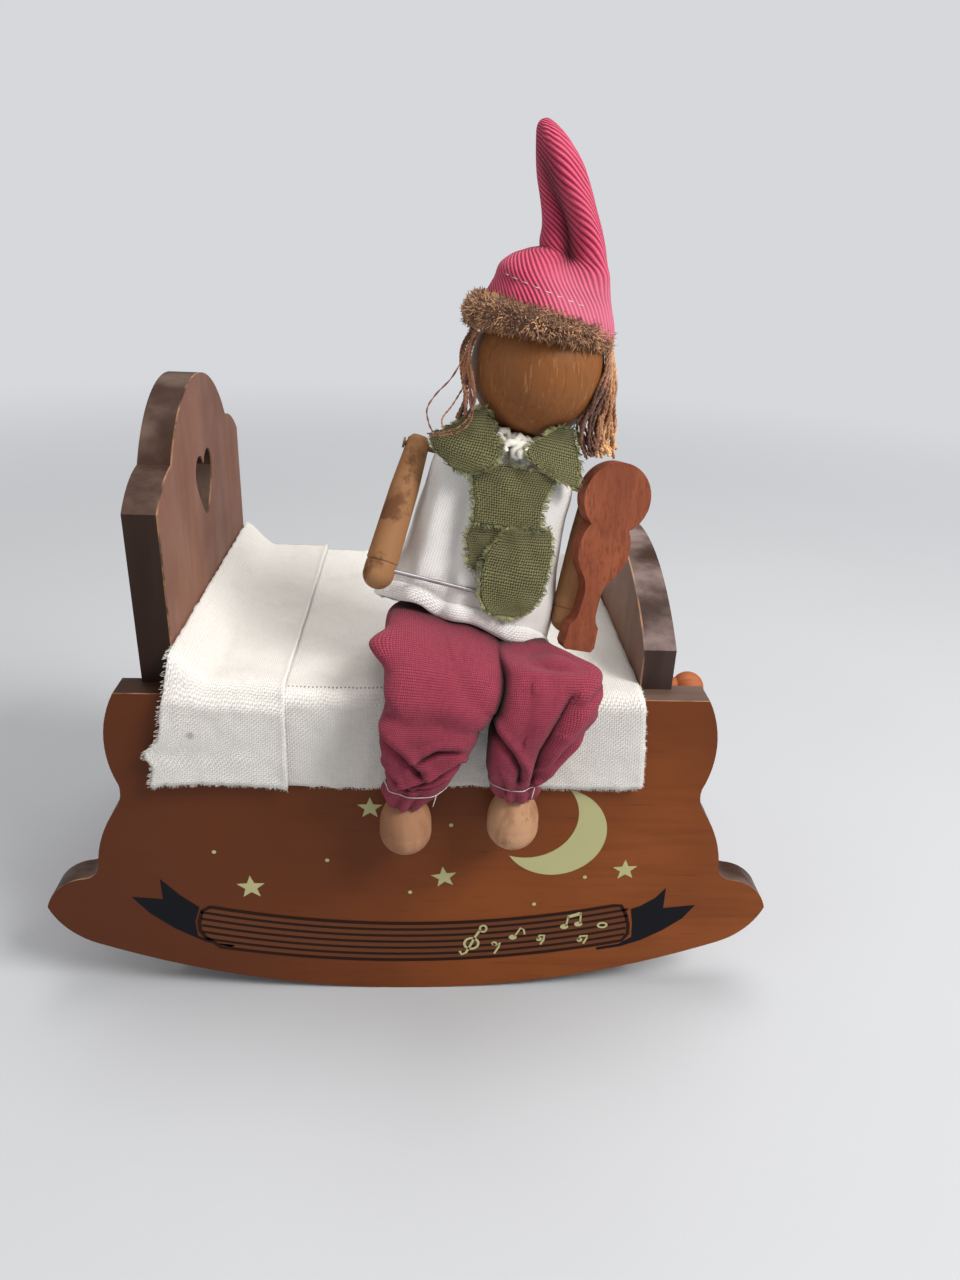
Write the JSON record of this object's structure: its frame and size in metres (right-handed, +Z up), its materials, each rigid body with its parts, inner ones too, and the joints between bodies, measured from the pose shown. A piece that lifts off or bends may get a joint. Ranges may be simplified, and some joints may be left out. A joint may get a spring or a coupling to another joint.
{
  "type": "music box",
  "caption": "Wooden rocking cradle music box with a heart-cut headboard, blanket, side winding knob and a seated cloth-dressed doll holding a fiddle and bow.",
  "frame": {"origin": "on the floor, at the centre of the outer box of the whole piece", "axes": "+X towards the footboard and its winding knob, -Y the front that the doll faces, +Z up"},
  "size_m": [0.19, 0.1198, 0.2142],
  "materials": {
    "stained_wood": "satin brown stain",
    "plywood": "raw birch plywood",
    "turned_wood": "turned and waxed",
    "red_wood": "sawn, red-brown stain",
    "flannel": "brushed cream flannel",
    "cream_cotton": "ribbed cotton",
    "green_linen": "plain weave with frayed edges",
    "red_twill": "diagonal twill",
    "burgundy_cotton": "plain weave",
    "brown_plush": "curly pile",
    "golden_yarn": "twisted yarn",
    "white_yarn": "loose yarn",
    "steel": "bright",
    "brass": "machined",
    "zinc_casting": "plain casting"
  },
  "bodies": {
    "cradle": {"front_rocker_panel": "stained_wood", "rear_rocker_panel": "stained_wood", "headboard": "stained_wood", "footboard": "stained_wood", "bed_board": "plywood", "bottom_board": "plywood", "bottom_board_screws": "steel", "blanket": "flannel", "movement_bedplate": "zinc_casting", "tone_comb": "steel", "comb_screws": "steel", "spring_barrel": "brass", "mainspring": "steel", "movement_screws": "steel", "torso_block": "turned_wood", "neck_dowel": "turned_wood", "shoulder_wire": "steel", "neck_ruffle": "white_yarn", "tunic": "cream_cotton", "vest_front": "green_linen", "vest_shoulders": "green_linen", "right_trouser_leg": "burgundy_cotton", "left_trouser_leg": "burgundy_cotton", "right_foot": "turned_wood", "left_foot": "turned_wood"},
    "winding": {"winding_arbor": "steel", "winding_knob": "turned_wood", "crown_wheel": "brass"},
    "drum": {"pinned_drum": "brass"},
    "governor_shaft": {"governor_wheel": "brass"},
    "fan": {"governor_fan": "brass"},
    "head": {"head_ball": "turned_wood", "hat": "red_twill", "hat_fur_band": "brown_plush", "hair_left": "golden_yarn", "hair_right": "golden_yarn"},
    "right_arm": {"right_arm": "turned_wood", "bow": "steel"},
    "left_arm": {"left_arm": "turned_wood", "violin": "red_wood"}
  },
  "joints": [
    {"name": "winding", "type": "hinge", "parent": "cradle", "child": "winding", "pos_m": [0.0545, 0.00887, 0.069], "axis": [1, 0, 0], "continuous": true},
    {"name": "drum_turn", "type": "hinge", "parent": "cradle", "child": "drum", "pos_m": [0.03812, 0.03287, 0.069], "axis": [0, 1, 0], "continuous": true},
    {"name": "governor_turn", "type": "hinge", "parent": "cradle", "child": "governor_shaft", "pos_m": [0.04676, 0.04187, 0.0781], "axis": [0, 1, 0], "continuous": true},
    {"name": "fan_spin", "type": "hinge", "parent": "cradle", "child": "fan", "pos_m": [0.04, 0.04047, 0.0843], "axis": [-1, 0, 0], "continuous": true},
    {"name": "head_turn", "type": "hinge", "parent": "cradle", "child": "head", "pos_m": [0.02301, -0.02213, 0.15434], "axis": [0.2334, 0, 0.9724], "range_deg": [-15, 15]},
    {"name": "right_arm_swing", "type": "hinge", "parent": "cradle", "child": "right_arm", "pos_m": [-0.00092, -0.02213, 0.14723], "axis": [-0.9724, 0, 0.2334], "range_deg": [0, 70]},
    {"name": "left_arm_swing", "type": "hinge", "parent": "cradle", "child": "left_arm", "pos_m": [0.04109, -0.02213, 0.13714], "axis": [-0.9724, 0, 0.2334], "range_deg": [0, 45]}
  ],
  "couplings": [
    {"joint": "drum_turn", "follows": "winding", "ratio": -3},
    {"joint": "governor_turn", "follows": "winding", "ratio": 12},
    {"joint": "fan_spin", "follows": "winding", "ratio": 288}
  ]
}
